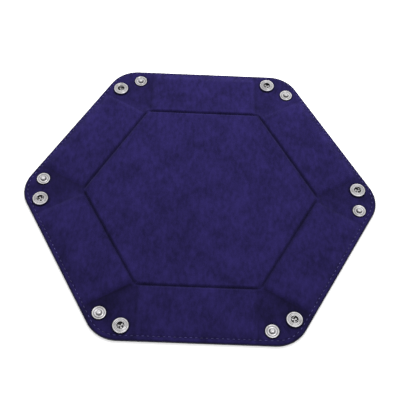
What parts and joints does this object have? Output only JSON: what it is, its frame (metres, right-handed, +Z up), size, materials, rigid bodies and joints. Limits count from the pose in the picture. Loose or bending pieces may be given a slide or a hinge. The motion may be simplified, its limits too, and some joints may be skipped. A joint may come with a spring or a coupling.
{
  "type": "folding dice tray",
  "caption": "Hexagonal dice tray of velvet and leatherette over boards, lying flat; its walls fold up on the base and the gussets between them snap together at the corners.",
  "frame": {"origin": "the middle of the underside, on the surface that the flat tray lies on", "axes": "+Z up out of the playing surface; +X towards a corner of the outline; -Y towards the middle of wall 1"},
  "size_m": [0.2694, 0.24, 0.0043],
  "materials": {
    "velvet_lining": "matte",
    "gusset_fabric": "matte",
    "leatherette_cover": "satin",
    "fibreboard": "matte",
    "nickel_snap": "polished"
  },
  "bodies": {
    "base": {"base_cover": "leatherette_cover", "base_board": "fibreboard", "base_lining": "velvet_lining"},
    "wall_1": {"wall_cover_1": "leatherette_cover", "wall_board_1": "fibreboard", "wall_lining_1": "velvet_lining"},
    "wall_2": {"wall_cover_2": "leatherette_cover", "wall_board_2": "fibreboard", "wall_lining_2": "velvet_lining"},
    "wall_3": {"wall_cover_3": "leatherette_cover", "wall_board_3": "fibreboard", "wall_lining_3": "velvet_lining"},
    "wall_4": {"wall_cover_4": "leatherette_cover", "wall_board_4": "fibreboard", "wall_lining_4": "velvet_lining"},
    "wall_5": {"wall_cover_5": "leatherette_cover", "wall_board_5": "fibreboard", "wall_lining_5": "velvet_lining"},
    "wall_6": {"wall_cover_6": "leatherette_cover", "wall_board_6": "fibreboard", "wall_lining_6": "velvet_lining"},
    "corner_1_socket_side": {"gusset_1_socket_side": "gusset_fabric", "snap_socket_1": "nickel_snap", "snap_cap_1": "nickel_snap"},
    "corner_1_stud_side": {"gusset_1_stud_side": "gusset_fabric", "snap_stud_1": "nickel_snap", "snap_eyelet_1": "nickel_snap"},
    "corner_2_socket_side": {"gusset_2_socket_side": "gusset_fabric", "snap_socket_2": "nickel_snap", "snap_cap_2": "nickel_snap"},
    "corner_2_stud_side": {"gusset_2_stud_side": "gusset_fabric", "snap_stud_2": "nickel_snap", "snap_eyelet_2": "nickel_snap"},
    "corner_3_socket_side": {"gusset_3_socket_side": "gusset_fabric", "snap_socket_3": "nickel_snap", "snap_cap_3": "nickel_snap"},
    "corner_3_stud_side": {"gusset_3_stud_side": "gusset_fabric", "snap_stud_3": "nickel_snap", "snap_eyelet_3": "nickel_snap"},
    "corner_4_socket_side": {"gusset_4_socket_side": "gusset_fabric", "snap_socket_4": "nickel_snap", "snap_cap_4": "nickel_snap"},
    "corner_4_stud_side": {"gusset_4_stud_side": "gusset_fabric", "snap_stud_4": "nickel_snap", "snap_eyelet_4": "nickel_snap"},
    "corner_5_socket_side": {"gusset_5_socket_side": "gusset_fabric", "snap_socket_5": "nickel_snap", "snap_cap_5": "nickel_snap"},
    "corner_5_stud_side": {"gusset_5_stud_side": "gusset_fabric", "snap_stud_5": "nickel_snap", "snap_eyelet_5": "nickel_snap"},
    "corner_6_socket_side": {"gusset_6_socket_side": "gusset_fabric", "snap_socket_6": "nickel_snap", "snap_cap_6": "nickel_snap"},
    "corner_6_stud_side": {"gusset_6_stud_side": "gusset_fabric", "snap_stud_6": "nickel_snap", "snap_eyelet_6": "nickel_snap"}
  },
  "joints": [
    {"name": "wall_1_fold", "type": "hinge", "parent": "base", "child": "wall_1", "pos_m": [0, -0.07794, 0.001], "axis": [-1, 0, 0], "range_deg": [0, 90]},
    {"name": "wall_2_fold", "type": "hinge", "parent": "base", "child": "wall_2", "pos_m": [0.0675, -0.03897, 0.001], "axis": [-0.5, -0.866, 0], "range_deg": [0, 90]},
    {"name": "wall_3_fold", "type": "hinge", "parent": "base", "child": "wall_3", "pos_m": [0.0675, 0.03897, 0.001], "axis": [0.5, -0.866, 0], "range_deg": [0, 90]},
    {"name": "wall_4_fold", "type": "hinge", "parent": "base", "child": "wall_4", "pos_m": [0, 0.07794, 0.001], "axis": [1, 0, 0], "range_deg": [0, 90]},
    {"name": "wall_5_fold", "type": "hinge", "parent": "base", "child": "wall_5", "pos_m": [-0.0675, 0.03897, 0.001], "axis": [0.5, 0.866, 0], "range_deg": [0, 90]},
    {"name": "wall_6_fold", "type": "hinge", "parent": "base", "child": "wall_6", "pos_m": [-0.0675, -0.03897, 0.001], "axis": [-0.5, 0.866, 0], "range_deg": [0, 90]},
    {"name": "corner_1_socket_side_fold", "type": "hinge", "parent": "wall_1", "child": "corner_1_socket_side", "pos_m": [-0.0424, -0.07794, 0.001], "axis": [0, -1, 0], "range_deg": [0, 60]},
    {"name": "corner_2_stud_side_fold", "type": "hinge", "parent": "wall_1", "child": "corner_2_stud_side", "pos_m": [0.0424, -0.07794, 0.001], "axis": [0, 1, 0], "range_deg": [0, 60]},
    {"name": "corner_2_socket_side_fold", "type": "hinge", "parent": "wall_2", "child": "corner_2_socket_side", "pos_m": [0.0463, -0.07569, 0.001], "axis": [0.866, -0.5, 0], "range_deg": [0, 60]},
    {"name": "corner_3_stud_side_fold", "type": "hinge", "parent": "wall_2", "child": "corner_3_stud_side", "pos_m": [0.0887, -0.00225, 0.001], "axis": [-0.866, 0.5, 0], "range_deg": [0, 60]},
    {"name": "corner_3_socket_side_fold", "type": "hinge", "parent": "wall_3", "child": "corner_3_socket_side", "pos_m": [0.0887, 0.00225, 0.001], "axis": [0.866, 0.5, 0], "range_deg": [0, 60]},
    {"name": "corner_4_stud_side_fold", "type": "hinge", "parent": "wall_3", "child": "corner_4_stud_side", "pos_m": [0.0463, 0.07569, 0.001], "axis": [-0.866, -0.5, 0], "range_deg": [0, 60]},
    {"name": "corner_4_socket_side_fold", "type": "hinge", "parent": "wall_4", "child": "corner_4_socket_side", "pos_m": [0.0424, 0.07794, 0.001], "axis": [0, 1, 0], "range_deg": [0, 60]},
    {"name": "corner_5_stud_side_fold", "type": "hinge", "parent": "wall_4", "child": "corner_5_stud_side", "pos_m": [-0.0424, 0.07794, 0.001], "axis": [0, -1, 0], "range_deg": [0, 60]},
    {"name": "corner_5_socket_side_fold", "type": "hinge", "parent": "wall_5", "child": "corner_5_socket_side", "pos_m": [-0.0463, 0.07569, 0.001], "axis": [-0.866, 0.5, 0], "range_deg": [0, 60]},
    {"name": "corner_6_stud_side_fold", "type": "hinge", "parent": "wall_5", "child": "corner_6_stud_side", "pos_m": [-0.0887, 0.00225, 0.001], "axis": [0.866, -0.5, 0], "range_deg": [0, 60]},
    {"name": "corner_6_socket_side_fold", "type": "hinge", "parent": "wall_6", "child": "corner_6_socket_side", "pos_m": [-0.0887, -0.00225, 0.001], "axis": [-0.866, -0.5, 0], "range_deg": [0, 60]},
    {"name": "corner_1_stud_side_fold", "type": "hinge", "parent": "wall_6", "child": "corner_1_stud_side", "pos_m": [-0.0463, -0.07569, 0.001], "axis": [0.866, 0.5, 0], "range_deg": [0, 60]}
  ],
  "couplings": [
    {"joint": "wall_2_fold", "follows": "wall_1_fold", "ratio": 1},
    {"joint": "wall_3_fold", "follows": "wall_1_fold", "ratio": 1},
    {"joint": "wall_4_fold", "follows": "wall_1_fold", "ratio": 1},
    {"joint": "wall_5_fold", "follows": "wall_1_fold", "ratio": 1},
    {"joint": "wall_6_fold", "follows": "wall_1_fold", "ratio": 1},
    {"joint": "corner_1_socket_side_fold", "follows": "wall_1_fold", "ratio": 0.66667},
    {"joint": "corner_2_stud_side_fold", "follows": "wall_1_fold", "ratio": 0.66667},
    {"joint": "corner_2_socket_side_fold", "follows": "wall_1_fold", "ratio": 0.66667},
    {"joint": "corner_3_stud_side_fold", "follows": "wall_1_fold", "ratio": 0.66667},
    {"joint": "corner_3_socket_side_fold", "follows": "wall_1_fold", "ratio": 0.66667},
    {"joint": "corner_4_stud_side_fold", "follows": "wall_1_fold", "ratio": 0.66667},
    {"joint": "corner_4_socket_side_fold", "follows": "wall_1_fold", "ratio": 0.66667},
    {"joint": "corner_5_stud_side_fold", "follows": "wall_1_fold", "ratio": 0.66667},
    {"joint": "corner_5_socket_side_fold", "follows": "wall_1_fold", "ratio": 0.66667},
    {"joint": "corner_6_stud_side_fold", "follows": "wall_1_fold", "ratio": 0.66667},
    {"joint": "corner_6_socket_side_fold", "follows": "wall_1_fold", "ratio": 0.66667},
    {"joint": "corner_1_stud_side_fold", "follows": "wall_1_fold", "ratio": 0.66667}
  ]
}
